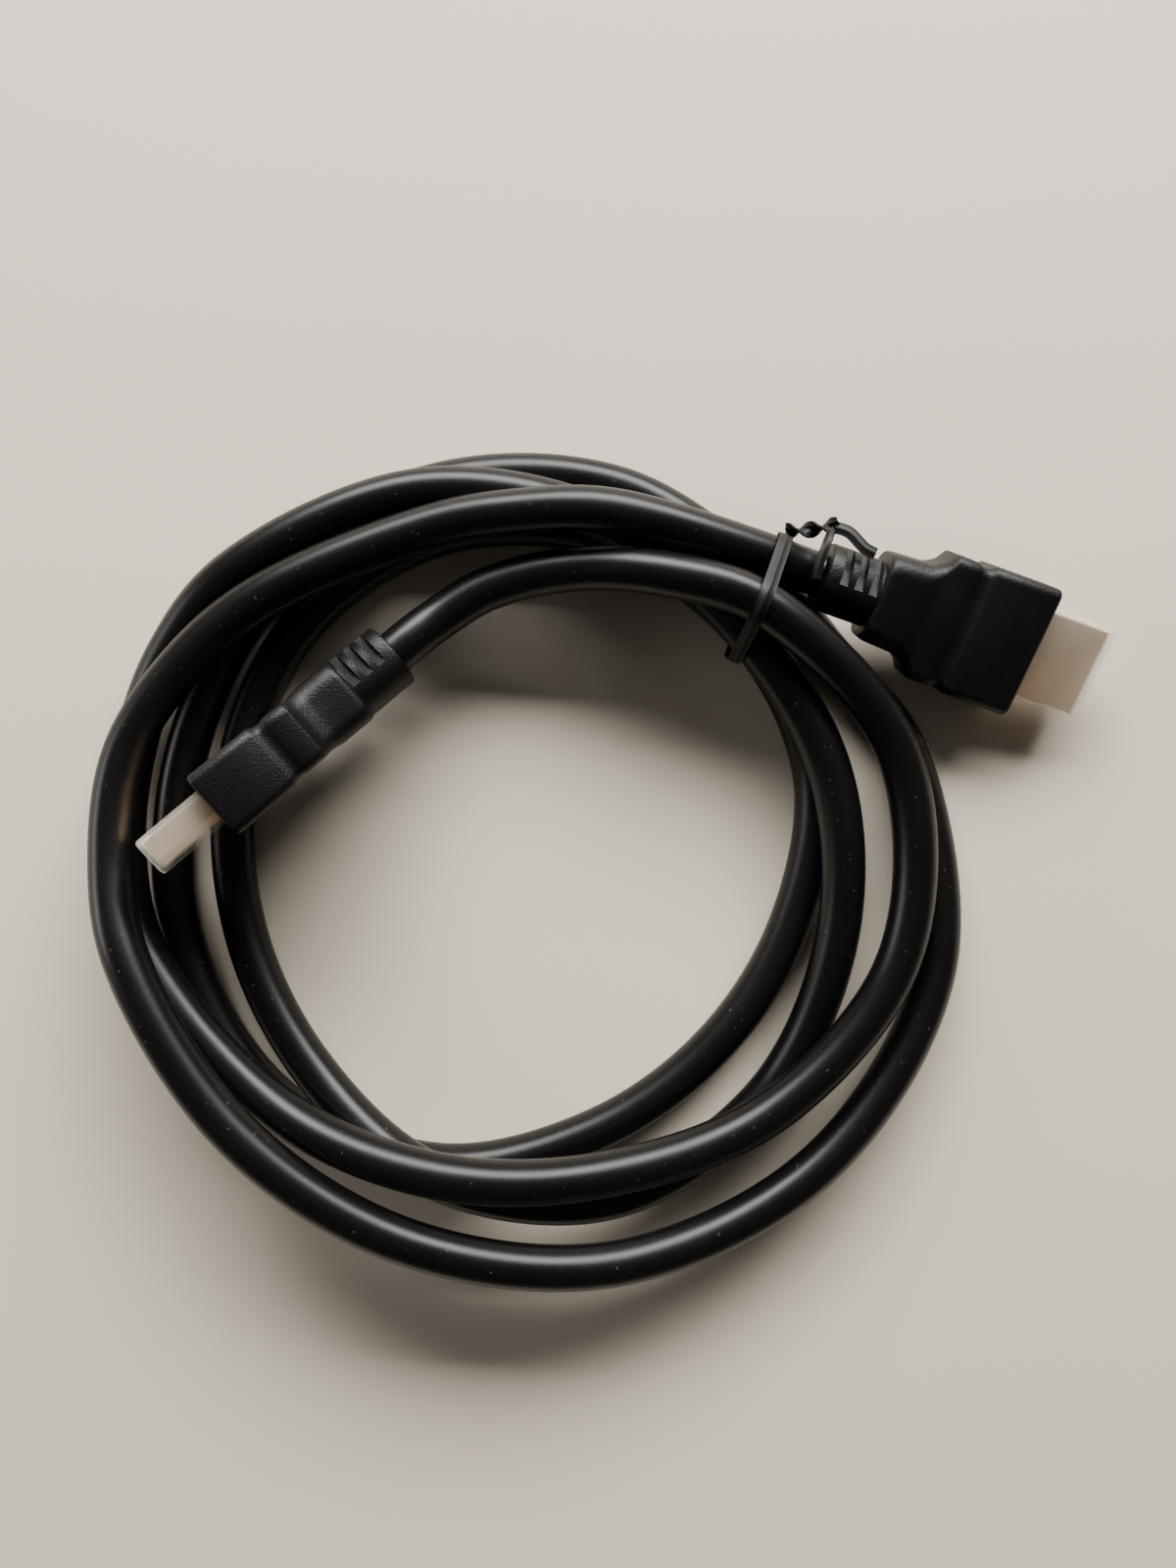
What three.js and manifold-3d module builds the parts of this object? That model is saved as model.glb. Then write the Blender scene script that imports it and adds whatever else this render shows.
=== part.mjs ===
// A loosely coiled HDMI cable: a round cord, a moulded plug with a dust cap on each end, and a
// twist tie round the turns. Millimetres, +Z up. The cord lies on the plane z = 0.

import * as THREE from 'three';
import { mergeVertices } from 'three/addons/utils/BufferGeometryUtils.js';
import Module from 'manifold-3d';

const wasm = await Module();
wasm.setup();

// Clearance between pieces that touch
const SEAT_GAP = 0.3;

// How far a cutting body stands past the surface that it cuts
const OVERCUT = 1;

// Points that a curve is measured by
const CURVE_DIVISIONS = 3000;

// The cord
const CORD_DIAMETER = 7;
const CORD_SIDES = 12;
const CORD_STEPS = 86;
const CORD_LEAD = 4;

// The strain relief, moulded in one with the housing: a round sleeve with pockets in two
// opposite quarters. Distances run from its free end
const RELIEF_LENGTH = 8.8;
const RELIEF_RADIUS = 5.4;
const RELIEF_CHAMFER = 0.4;
const RELIEF_ROOT = 2;
const POCKET_STARTS = [2.1, 4.55, 7];
const POCKET_WIDTH = 1.4;
const POCKET_FLOOR = 3.9;
const POCKET_TURNS = [45, 225];

// The housing's outline: distance from its rear, half width, half thickness, corner radius
const HOUSING_SECTIONS = [
  [0, 6.5, 4.9, 3.2],
  [0.5, 7.1, 5.5, 3.2],
  [1.2, 7.2, 5.55, 3],
  [6.1, 7.5, 5.5, 3],
  [7.4, 8, 5.3, 2.8],
  [8.5, 8.7, 5.1, 2.4],
  [9.6, 10.2, 5.1, 1.8],
  [13, 10.3, 5.2, 1.7],
  [13.8, 9.95, 5, 1.6],
  [14.8, 9.95, 5, 1.6],
  [16, 10.6, 5.5, 1.6],
  [26.3, 10.7, 5.6, 1.6],
  [26.8, 10.5, 5.4, 1.5],
  [27, 10.1, 5, 1.2],
];
const HOUSING_CORNER_STEPS = 5;

// The metal shell and the insulator in it
const SHELL_HALF_WIDTH = 6.95;
const SHELL_HALF_HEIGHT = 2.225;
const SHELL_CHAMFER = 1.3;
const SHELL_WALL = 0.3;
const SHELL_REACH = 10.8;
const SHELL_INSET = 5;
const INSULATOR_SETBACK = 0.6;
const TONGUE_SLOT_HALF_WIDTH = 5.7;
const TONGUE_SLOT_HALF_HEIGHT = 0.85;
const TONGUE_SLOT_DEPTH = 8.5;

// The dust cap
const CAP_WALL = 0.6;
const CAP_END_WALL = 0.7;
const CAP_CORNER = 1.3;
const CAP_END_ROUND = 0.4;
const CAP_CORNER_STEPS = 4;

// The twist tie: a flat ribbon round the bundle whose two ends are twisted together
const TIE_WIDTH = 2.2;
const TIE_THICKNESS = 0.6;
const TIE_CLEARANCE = 0.4;
const TIE_CENTRE = new THREE.Vector3(38, 40.6, 0);
const TIE_ALONG = new THREE.Vector3(0.375, 0.927, 0).normalize();
const TIE_DISC_SIDES = 16;
const TIE_SAMPLES = 40;
const TWIST_SINK = 0.4;
const TWIST_HALF_WIDTH = 1.1;
const TWIST_HALF_THICKNESS = 0.7;
const TWIST_SIDES = 10;
const TWIST_STEPS = 12;
const TWIST_TURNS = 1.25;
const TWIST_END = new THREE.Vector3(50.2, 51.8, 15.6);
const TAIL_RADIUS = 0.65;
const TAIL_SIDES = 8;
const TAIL_STEPS = 8;
const TAIL_OUTER = [[48.6, 51.7, 15.5], [51.4, 50.6, 16.4], [53.9, 47.9, 17], [55.5, 47.1, 16.9]];
const TAIL_INNER = [[49.2, 51.6, 15.5], [48, 48.9, 17.1], [46.7, 45.4, 17.3], [46.3, 43.3, 17]];

// Each plug's place: the middle of its relief's free end, then its heading, the drop of its
// nose and its roll, in degrees
const PLUG_A = { at: [47.9, 44.7, 11.8], heading: -18.5, drop: 6, roll: 17 };
const PLUG_B = { at: [-19.9, 32.1, 12.5], heading: 221.6, drop: -9, roll: 78 };

// The cord's middle from plug A on, turn by turn: angle round the coil, radius, height
const TURNS = [
  [
    [50, 61.6, 14.1], [75, 55.1, 19.4], [90, 53.6, 17.2], [105, 53.5, 15], [135, 57.7, 13.7],
    [150, 61.2, 13], [165, 64.3, 12.8], [180, 63.8, 14.4], [195, 62, 18], [225, 59.7, 19.8],
    [255, 61.5, 17.8], [285, 66, 13.5], [315, 69.5, 9], [345, 70.5, 5.4], [375, 66, 3.6],
    [390, 61.2, 3.9],
  ],
  [
    [45, 60.1, 4.75], [75, 62.8, 3.55], [105, 62.8, 3.55], [135, 60.6, 3.55], [165, 58, 3.55],
    [195, 58, 3.55], [225, 57.5, 3.55], [255, 53.5, 3.55], [285, 47.5, 3.55], [315, 45, 3.55],
    [345, 46, 3.55], [375, 50.2, 3.6],
  ],
  [
    [45, 52, 4.75], [75, 54.4, 3.55], [105, 54.6, 3.55], [135, 52.5, 3.55], [165, 49, 3.55],
    [195, 47.5, 4], [225, 48.5, 7], [255, 52.8, 11.4], [285, 57.6, 7.6], [315, 57, 3.8],
    [345, 53, 8.6], [375, 51.4, 11.4],
  ],
  [
    [45, 50.8, 12], [75, 55.3, 10.9], [105, 60.5, 11.1], [135, 64.7, 10], [150, 66.2, 6.8],
    [165, 66.2, 4.6], [180, 65.1, 5.9], [195, 61.8, 10.4], [225, 55, 13.6], [255, 50, 18.9],
    [285, 51, 16], [315, 57, 12.3], [345, 62.8, 11.4], [375, 62.2, 13.4], [405, 54.6, 18.9],
  ],
];

// The inner arc between the last turn and plug B
const INNER_ARC = [[23.4, 43.6, 18.8], [8.8, 45.2, 14.3], [-5, 42.6, 11.2], [-13.4, 37.6, 10.8]];

const JACKET = new THREE.MeshStandardMaterial({ color: 0x1b1b1c, roughness: 0.42, metalness: 0 });
const MOULDING = new THREE.MeshStandardMaterial({ color: 0x17171a, roughness: 0.6, metalness: 0 });
const GOLD = new THREE.MeshStandardMaterial({ color: 0xc9a25c, roughness: 0.28, metalness: 1 });
const INSULATION = new THREE.MeshStandardMaterial({
  color: 0x141414, roughness: 0.55, metalness: 0,
});
const CAP_PLASTIC = new THREE.MeshStandardMaterial({
  color: 0xe9e4da, roughness: 0.45, metalness: 0, transparent: true, opacity: 0.6,
});
const TIE_PLASTIC = new THREE.MeshStandardMaterial({
  color: 0x202020, roughness: 0.5, metalness: 0,
});

const AHEAD = new THREE.Vector3(1, 0, 0);
const SIDEWAYS = new THREE.Vector3(0, 1, 0);
const UPWARDS = new THREE.Vector3(0, 0, 1);
const SECTION_TO_AXIS = new THREE.Matrix4().makeBasis(SIDEWAYS, UPWARDS, AHEAD);

function solidFrom(positions, faces) {
  const kept = [];
  for (let i = 0; i < faces.length; i += 3) {
    const [a, b, c] = [faces[i], faces[i + 1], faces[i + 2]];
    if (a !== b && b !== c && c !== a) {
      kept.push(a, b, c);
    }
  }
  return new wasm.Manifold(new wasm.Mesh({
    numProp: 3,
    vertProperties: new Float32Array(positions),
    triVerts: new Uint32Array(kept),
  }));
}

function solidOf(geometry) {
  geometry.deleteAttribute('normal');
  geometry.deleteAttribute('uv');
  const merged = mergeVertices(geometry);
  return solidFrom(merged.attributes.position.array, merged.index.array);
}

function meshOf(name, solid, material) {
  const result = solid.getMesh();
  const geometry = new THREE.BufferGeometry();
  const positions = new THREE.BufferAttribute(new Float32Array(result.vertProperties), 3);
  geometry.setAttribute('position', positions);
  geometry.setIndex(new THREE.BufferAttribute(new Uint32Array(result.triVerts), 1));
  geometry.computeVertexNormals();
  const mesh = new THREE.Mesh(geometry, material);
  mesh.name = name;
  return mesh;
}

// A closed body through equal rings of points, each ring anticlockwise seen from the far end
function skin(rings) {
  const count = rings[0].length;
  const positions = rings.flat().flatMap((point) => point.toArray());
  const faces = [];
  for (let ring = 0; ring + 1 < rings.length; ring += 1) {
    for (let side = 0; side < count; side += 1) {
      const here = ring * count + side;
      const next = ring * count + ((side + 1) % count);
      faces.push(here, next, here + count, next, next + count, here + count);
    }
  }
  const last = (rings.length - 1) * count;
  for (let side = 1; side + 1 < count; side += 1) {
    faces.push(0, side + 1, side, last, last + side, last + side + 1);
  }
  return solidFrom(positions, faces);
}

// Rounded rectangles strung along +X
function loft(sections, cornerSteps) {
  return skin(sections.map(([along, halfWidth, halfHeight, corner]) => {
    const ring = [];
    for (let quarter = 0; quarter < 4; quarter += 1) {
      const middleY = (quarter === 0 || quarter === 3 ? 1 : -1) * (halfWidth - corner);
      const middleZ = (quarter < 2 ? 1 : -1) * (halfHeight - corner);
      for (let step = 0; step <= cornerSteps; step += 1) {
        const angle = (quarter + step / cornerSteps) * Math.PI / 2;
        const y = middleY + corner * Math.cos(angle);
        const z = middleZ + corner * Math.sin(angle);
        ring.push(new THREE.Vector3(along, y, z));
      }
    }
    return ring;
  }));
}

// A flat outline of width and height pulled along +X
function prism(outline, from, to) {
  const shape = new THREE.Shape(outline);
  const geometry = new THREE.ExtrudeGeometry(shape, { depth: to - from, bevelEnabled: false });
  geometry.applyMatrix4(SECTION_TO_AXIS);
  geometry.translate(from, 0, 0);
  return solidOf(geometry);
}

function regularOutline(radius, sides) {
  return Array.from({ length: sides }, (_, side) => {
    const angle = side * 2 * Math.PI / sides;
    return new THREE.Vector2(radius * Math.cos(angle), radius * Math.sin(angle));
  });
}

function sweep(curve, radius, sides, steps) {
  const shape = new THREE.Shape(regularOutline(radius, sides));
  return solidOf(new THREE.ExtrudeGeometry(shape, { extrudePath: curve, steps }));
}

function curveThrough(points) {
  const curve = new THREE.CatmullRomCurve3(points, false, 'centripetal');
  curve.arcLengthDivisions = CURVE_DIVISIONS;
  return curve;
}

// The shell's outline with two lower corners cut off, grown by a distance all round
function shellOutline(growth) {
  const width = SHELL_HALF_WIDTH + growth;
  const height = SHELL_HALF_HEIGHT + growth;
  const cut = SHELL_CHAMFER + growth * (2 - Math.SQRT2);
  return [
    [width, height], [-width, height], [-width, cut - height],
    [cut - width, -height], [width - cut, -height], [width, cut - height],
  ].map(([y, z]) => new THREE.Vector2(y, z));
}

const HOUSING_FRONT = RELIEF_LENGTH + HOUSING_SECTIONS.at(-1)[0];
const SHELL_REAR = HOUSING_FRONT - SHELL_INSET;
const SHELL_TIP = HOUSING_FRONT + SHELL_REACH;

function housing() {
  const sleeve = [
    [0, RELIEF_RADIUS - RELIEF_CHAMFER],
    [RELIEF_CHAMFER, RELIEF_RADIUS],
    [RELIEF_LENGTH + RELIEF_ROOT, RELIEF_RADIUS],
  ].map(([along, radius]) => regularOutline(radius, CORD_SIDES * 2)
    .map((point) => new THREE.Vector3(along, point.x, point.y)));
  let body = skin(sleeve);
  for (const start of POCKET_STARTS) {
    for (const turn of POCKET_TURNS) {
      const pocket = prism([
        new THREE.Vector2(POCKET_FLOOR, -RELIEF_RADIUS),
        new THREE.Vector2(RELIEF_RADIUS + OVERCUT, -RELIEF_RADIUS),
        new THREE.Vector2(RELIEF_RADIUS + OVERCUT, RELIEF_RADIUS),
        new THREE.Vector2(POCKET_FLOOR, RELIEF_RADIUS),
      ], start, start + POCKET_WIDTH);
      body = body.subtract(pocket.rotate([turn, 0, 0]));
    }
  }
  const block = loft(HOUSING_SECTIONS, HOUSING_CORNER_STEPS).translate([RELIEF_LENGTH, 0, 0]);
  const socket = prism(shellOutline(SEAT_GAP), SHELL_REAR - SEAT_GAP, HOUSING_FRONT + OVERCUT);
  return body.add(block).subtract(socket);
}

function shell() {
  const outside = prism(shellOutline(0), SHELL_REAR, SHELL_TIP);
  return outside.subtract(
    prism(shellOutline(-SHELL_WALL), SHELL_REAR - OVERCUT, SHELL_TIP + OVERCUT),
  );
}

function insulator() {
  const mouth = SHELL_TIP - INSULATOR_SETBACK;
  const body = prism(shellOutline(-SHELL_WALL - SEAT_GAP), SHELL_REAR, mouth);
  const slot = prism([
    new THREE.Vector2(-TONGUE_SLOT_HALF_WIDTH, -TONGUE_SLOT_HALF_HEIGHT),
    new THREE.Vector2(TONGUE_SLOT_HALF_WIDTH, -TONGUE_SLOT_HALF_HEIGHT),
    new THREE.Vector2(TONGUE_SLOT_HALF_WIDTH, TONGUE_SLOT_HALF_HEIGHT),
    new THREE.Vector2(-TONGUE_SLOT_HALF_WIDTH, TONGUE_SLOT_HALF_HEIGHT),
  ], mouth - TONGUE_SLOT_DEPTH, mouth + OVERCUT);
  return body.subtract(slot);
}

function cap() {
  const width = SHELL_HALF_WIDTH + SEAT_GAP + CAP_WALL;
  const height = SHELL_HALF_HEIGHT + SEAT_GAP + CAP_WALL;
  const rear = HOUSING_FRONT + SEAT_GAP;
  const floor = SHELL_TIP + SEAT_GAP;
  const tip = floor + CAP_END_WALL;
  const body = loft([
    [rear, width, height, CAP_CORNER],
    [tip - CAP_END_ROUND, width, height, CAP_CORNER],
    [tip, width - CAP_END_ROUND, height - CAP_END_ROUND, CAP_CORNER - CAP_END_ROUND],
  ], CAP_CORNER_STEPS);
  return body.subtract(prism(shellOutline(SEAT_GAP), rear - OVERCUT, floor));
}

// From a plug's own axes, +X out of its nose and +Y across its width, to its place
function plugMatrix({ at, heading, drop, roll }) {
  const angles = [roll, drop, heading].map(THREE.MathUtils.degToRad);
  const turned = new THREE.Euler(angles[0], angles[1], angles[2], 'ZYX');
  return new THREE.Matrix4().makeRotationFromEuler(turned).setPosition(...at);
}

function plug(name, place) {
  const group = new THREE.Group();
  group.name = name;
  group.add(meshOf(`${name}_housing`, housing(), MOULDING));
  group.add(meshOf(`${name}_shell`, shell(), GOLD));
  group.add(meshOf(`${name}_insulator`, insulator(), INSULATION));
  group.add(meshOf(`${name}_cap`, cap(), CAP_PLASTIC));
  group.applyMatrix4(plugMatrix(place));
  return group;
}

function behind(place, distance) {
  return new THREE.Vector3(-distance, 0, 0).applyMatrix4(plugMatrix(place));
}

function cordCurve() {
  const route = [behind(PLUG_A, SEAT_GAP), behind(PLUG_A, CORD_LEAD)];
  for (const turn of TURNS) {
    for (const [angle, radius, height] of turn) {
      const around = THREE.MathUtils.degToRad(angle);
      route.push(new THREE.Vector3(radius * Math.cos(around), radius * Math.sin(around), height));
    }
  }
  route.push(...INNER_ARC.map((point) => new THREE.Vector3(...point)));
  route.push(behind(PLUG_B, CORD_LEAD), behind(PLUG_B, SEAT_GAP));
  return curveThrough(route);
}

// Anticlockwise hull of flat points
function hull(points) {
  const sorted = [...points].sort((a, b) => a.x - b.x || a.y - b.y);
  const half = (list) => {
    const chain = [];
    for (const point of list) {
      while (chain.length > 1) {
        const [a, b] = chain.slice(-2);
        if ((b.x - a.x) * (point.y - a.y) - (b.y - a.y) * (point.x - a.x) > 0) {
          break;
        }
        chain.pop();
      }
      chain.push(point);
    }
    return chain.slice(0, -1);
  };
  return [...half(sorted), ...half(sorted.reverse())];
}

// The loop is the hull of the strands where they cross it, so it follows the cord's size.
// Strands beyond the coil's middle aren't in the bundle.
function tie(curve) {
  const across = TIE_ALONG.clone().cross(UPWARDS);
  const strands = [];
  const joints = curve.getSpacedPoints(CORD_STEPS);
  for (let sample = 0; sample < CORD_STEPS * TIE_SAMPLES; sample += 1) {
    const segment = Math.floor(sample / TIE_SAMPLES);
    const share = (sample % TIE_SAMPLES) / TIE_SAMPLES;
    const offset = joints[segment].clone().lerp(joints[segment + 1], share).sub(TIE_CENTRE);
    const near = Math.abs(offset.dot(across)) < (TIE_WIDTH + CORD_DIAMETER / 2) / 2;
    if (near && offset.dot(TIE_ALONG) > -TIE_CENTRE.length()) {
      strands.push(new THREE.Vector2(offset.dot(TIE_ALONG), offset.z));
    }
  }
  const around = (radius) => hull(strands.flatMap((strand) => (
    regularOutline(radius, TIE_DISC_SIDES).map((point) => point.add(strand)))));
  const innerRadius = CORD_DIAMETER / 2 + TIE_CLEARANCE;
  const outline = around(innerRadius + TIE_THICKNESS);
  const placed = new THREE.Matrix4().makeBasis(TIE_ALONG, UPWARDS, across);
  placed.setPosition(TIE_CENTRE.clone().addScaledVector(across, -TIE_WIDTH / 2));
  const shape = new THREE.Shape(outline);
  shape.holes.push(new THREE.Path(around(innerRadius)));
  const band = new THREE.ExtrudeGeometry(shape, { depth: TIE_WIDTH, bevelEnabled: false });
  band.applyMatrix4(placed);
  const edge = outline.reduce((best, point) => (point.x > best.x ? point : best));
  const start = TIE_CENTRE.clone()
    .addScaledVector(TIE_ALONG, edge.x + TWIST_HALF_THICKNESS - TWIST_SINK)
    .addScaledVector(UPWARDS, edge.y);
  return [
    solidOf(band),
    twist(start, TWIST_END),
    ...[TAIL_OUTER, TAIL_INNER].map((tail) => sweep(
      curveThrough(tail.map((point) => new THREE.Vector3(...point))),
      TAIL_RADIUS, TAIL_SIDES, TAIL_STEPS)),
  ].reduce((joined, solid) => joined.add(solid));
}

// A flat oval turned steadily as it goes from one end to the other
function twist(start, end) {
  const ahead = end.clone().sub(start).normalize();
  const level = UPWARDS.clone().cross(ahead).normalize();
  const upright = ahead.clone().cross(level);
  const rings = [];
  for (let step = 0; step <= TWIST_STEPS; step += 1) {
    const share = step / TWIST_STEPS;
    const turned = (0.25 + share * TWIST_TURNS) * 2 * Math.PI;
    const middle = start.clone().lerp(end, share);
    rings.push(regularOutline(1, TWIST_SIDES).map((point) => {
      point.set(point.x * TWIST_HALF_WIDTH, point.y * TWIST_HALF_THICKNESS);
      point.rotateAround(new THREE.Vector2(), turned);
      return middle.clone().addScaledVector(level, point.x).addScaledVector(upright, point.y);
    }));
  }
  return skin(rings);
}

const cord = cordCurve();
const cable = new THREE.Group();
cable.name = 'hdmi_cable';
cable.add(meshOf('cable', sweep(cord, CORD_DIAMETER / 2, CORD_SIDES, CORD_STEPS), JACKET));
cable.add(plug('plug_a', PLUG_A));
cable.add(plug('plug_b', PLUG_B));
cable.add(meshOf('twist_tie', tie(cord), TIE_PLASTIC));

// The origin is moved to the middle of the underside of everything
cable.updateMatrixWorld(true);
const box = new THREE.Box3().setFromObject(cable, true);
const middle = box.getCenter(new THREE.Vector3());
cable.position.set(-middle.x, -middle.y, -box.min.z);

export default cable;
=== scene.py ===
"""Dresses the coiled cable: cord, plugs, dust caps and twist tie, on a pale table."""

import math

import bpy
import bmesh
from bpy.props import FloatProperty, FloatVectorProperty, IntProperty, PointerProperty
from mathutils import Euler, Matrix, Vector


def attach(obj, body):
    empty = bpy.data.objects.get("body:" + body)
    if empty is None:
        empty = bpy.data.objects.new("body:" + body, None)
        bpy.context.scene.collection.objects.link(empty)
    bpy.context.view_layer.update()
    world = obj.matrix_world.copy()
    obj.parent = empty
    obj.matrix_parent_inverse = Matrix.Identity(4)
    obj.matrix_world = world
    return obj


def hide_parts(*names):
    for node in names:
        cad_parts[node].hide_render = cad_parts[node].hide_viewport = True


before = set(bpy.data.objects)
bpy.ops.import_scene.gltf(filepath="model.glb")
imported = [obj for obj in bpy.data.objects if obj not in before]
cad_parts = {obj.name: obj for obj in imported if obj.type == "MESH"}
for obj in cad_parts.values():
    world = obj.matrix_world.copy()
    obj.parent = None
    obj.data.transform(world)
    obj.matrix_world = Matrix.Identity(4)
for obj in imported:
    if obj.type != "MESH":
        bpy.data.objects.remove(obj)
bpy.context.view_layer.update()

bl_info = {
    "name": "Coiled video cable",
    "version": (1, 0, 0),
    "blender": (4, 5, 0),
    "location": "3D View > Sidebar > Cable",
    "description": "Makes the pieces of a coiled cable with two plugs, caps and a twist tie",
    "category": "Object",
}

MM = 0.001
UPWARDS = Vector((0, 0, 1))
ROOT = "cable_and_plugs"

# Sizes below are in millimetres and angles in degrees, unless a comment says metres

# The coil's own axis in the frame of the whole part
COIL_CENTRE = Vector((-13.227, 0.890, 0.001))

# Each plug: middle of its relief's free end from the coil's axis, heading, nose drop and roll
PLUGS = {
    "plug_a": ((47.9, 44.7, 11.8), -18.5, 6.0, 17.0),
    "plug_b": ((-19.9, 32.1, 12.5), 221.6, -9.0, 78.0),
}
CAP_BODIES = {"plug_a": "cap_a", "plug_b": "cap_b"}

# The cord's middle from plug A on: angle round the coil, radius and height of each point
TURNS = [
    (50, 61.6, 14.1), (75, 55.1, 19.4), (90, 53.6, 17.2), (105, 53.5, 15), (135, 57.7, 13.7),
    (150, 61.2, 13), (165, 64.3, 12.8), (180, 63.8, 14.4), (195, 62, 18), (225, 59.7, 19.8),
    (255, 61.5, 17.8), (285, 66, 13.5), (315, 69.5, 9), (345, 70.5, 5.4), (375, 66, 3.6),
    (390, 61.2, 3.9),
    (45, 60.1, 4.75), (75, 62.8, 3.55), (105, 62.8, 3.55), (135, 60.6, 3.55), (165, 58, 3.55),
    (195, 58, 3.55), (225, 57.5, 3.55), (255, 53.5, 3.55), (285, 47.5, 3.55), (315, 45, 3.55),
    (345, 46, 3.55), (375, 50.2, 3.6),
    (45, 52, 4.75), (75, 54.4, 3.55), (105, 54.6, 3.55), (135, 52.5, 3.55), (165, 49, 3.55),
    (195, 47.5, 4), (225, 48.5, 7), (255, 52.8, 11.4), (285, 57.6, 7.6), (315, 57, 3.8),
    (345, 53, 8.6), (375, 51.4, 11.4),
    (45, 50.8, 12), (75, 55.3, 10.9), (105, 60.5, 11.1), (135, 64.7, 10), (150, 66.2, 6.8),
    (165, 66.2, 4.6), (180, 65.1, 5.9), (195, 61.8, 10.4), (225, 55, 13.6), (255, 50, 18.9),
    (285, 51, 16), (315, 57, 12.3), (345, 62.8, 11.4), (375, 62.2, 13.4), (405, 54.6, 18.9),
]
INNER_ARC = [(23.4, 43.6, 18.8), (8.8, 45.2, 14.3), (-5, 42.6, 11.2), (-13.4, 37.6, 10.8)]
CORD_LEAD = 4.0
SEAT_GAP = 0.3
CURVE_PARTS = 40
PATH_STRIDE = 4

# Housing outline: distance from its rear, half width, half thickness, corner radius
HOUSING_SECTIONS = [
    (0, 6.5, 4.9, 3.2), (0.15, 6.85, 5.25, 3.2), (0.5, 7.1, 5.5, 3.2), (1.2, 7.2, 5.55, 3.0),
    (3.6, 7.35, 5.53, 3.0), (6.1, 7.5, 5.5, 3.0), (6.8, 7.68, 5.4, 2.9), (7.4, 8.0, 5.28, 2.8),
    (8.0, 8.35, 5.16, 2.6), (8.5, 8.7, 5.1, 2.4), (9.1, 9.5, 5.07, 2.1), (9.6, 10.2, 5.1, 1.8),
    (9.9, 10.3, 5.14, 1.7), (13, 10.3, 5.2, 1.7), (13.4, 10.15, 5.1, 1.6), (13.8, 9.95, 5.0, 1.6),
    (14.8, 9.95, 5.0, 1.6), (15.2, 10.1, 5.12, 1.6), (15.8, 10.5, 5.42, 1.6), (16, 10.6, 5.5, 1.6),
    (21, 10.65, 5.55, 1.6), (26.3, 10.7, 5.6, 1.6), (26.6, 10.64, 5.54, 1.55),
    (26.85, 10.45, 5.35, 1.4), (27, 10.1, 5.0, 1.2),
]
HOUSING_LENGTH = 27.0
HOUSING_CORNER_STEPS = 8
HOUSING_SHARP = 32
EDGE_ROUND = 0.12
EDGE_ANGLE = 40

# The strain relief's free end: distance from it, and how much less the radius is there
RELIEF_EDGE = [(0, 0.45), (0.13, 0.13), (0.45, 0)]
RELIEF_ROOT = 2.0
RELIEF_SIDES = 64
POCKET_STARTS = (2.1, 4.55, 7.0)
POCKET_TURNS = (45, 225)
POCKET_FLOOR = 3.9
OVERCUT = 1.0

# The metal shell, the socket that holds it and the insulator's contacts
SHELL_CHAMFER = 1.3
SOCKET_DEPTH = 5.3
INSULATOR_SETBACK = 0.6
CONTACT_SETBACK = 0.6
CONTACT_LENGTH = 7.4
CONTACT_WIDTH = 0.42
CONTACT_THICKNESS = 0.12
CONTACT_HEIGHT = 0.78
CONTACT_ROWS = ((10, 1), (9, -1))

# The dust cap's mouth and end: distance from it, inset of the sides, corner radius
CAP_MOUTH = [(0, 0.12, 1.2), (0.12, 0, 1.3)]
CAP_END = [(0.45, 0, 1.3), (0.22, 0.06, 1.25), (0.06, 0.22, 1.1), (0, 0.42, 0.9)]
CAP_END_WALL = 0.7
CAP_CORNER_STEPS = 6
CAP_RIM_SLOPE = 0.5

# The tie's plane and the paths of its two free ends, from the coil's axis
TIE_CENTRE = Vector((38, 40.6, 0))
TIE_ALONG = Vector((0.375, 0.927, 0)).normalized()
TWIST_END = Vector((50.2, 51.8, 15.6))
TAIL_OUTER = [(48.6, 51.7, 15.5), (51.4, 50.6, 16.4), (53.9, 47.9, 17.0), (55.5, 47.1, 16.9)]
TAIL_INNER = [(49.2, 51.6, 15.5), (48.0, 48.9, 17.1), (46.7, 45.4, 17.3), (46.3, 43.3, 17.0)]
TAILS = ((TAIL_OUTER, 0.84), (TAIL_INNER, 0.66))

# How the tie is drawn: spacing of its points, the twist of its two ends, its wire's rise
TAIL_STEP = 0.35
TAIL_TILT = 0.5
STRAND_STEP = 0.4
STRAND_SIDES = 36
LOOP_POINTS = 90
TWIST_START = 0.55
TWIST_RADIUS = 0.5
TWIST_TURNS = 1.15
TWIST_STEPS = 32
WIRE_RISE = 0.9
TIE_SHARP = 60

# The camera over the coil, from the coil's axis; its reach is in metres
CAMERA_PLACE = Vector((11.0, 11.5, 199.2))
CAMERA_LENS = 27.05
CAMERA_SENSOR = 36.0
CAMERA_REACH = (0.01, 20.0)

# The table and the lights, in metres: place, width and height, share of the window's power
TABLE_SIZE = 6.0
LIGHTS = {
    "window": ((0.08, 0.95, 0.62), (1.4, 0.45), 1.0),
    "side": ((-1.1, 0.1, 0.35), (0.5, 0.3), 0.08),
}
LIGHT_COLOUR = (1.0, 1.0, 0.99)
ROOM_COLOUR = (1.0, 0.97, 0.93, 1.0)


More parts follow.
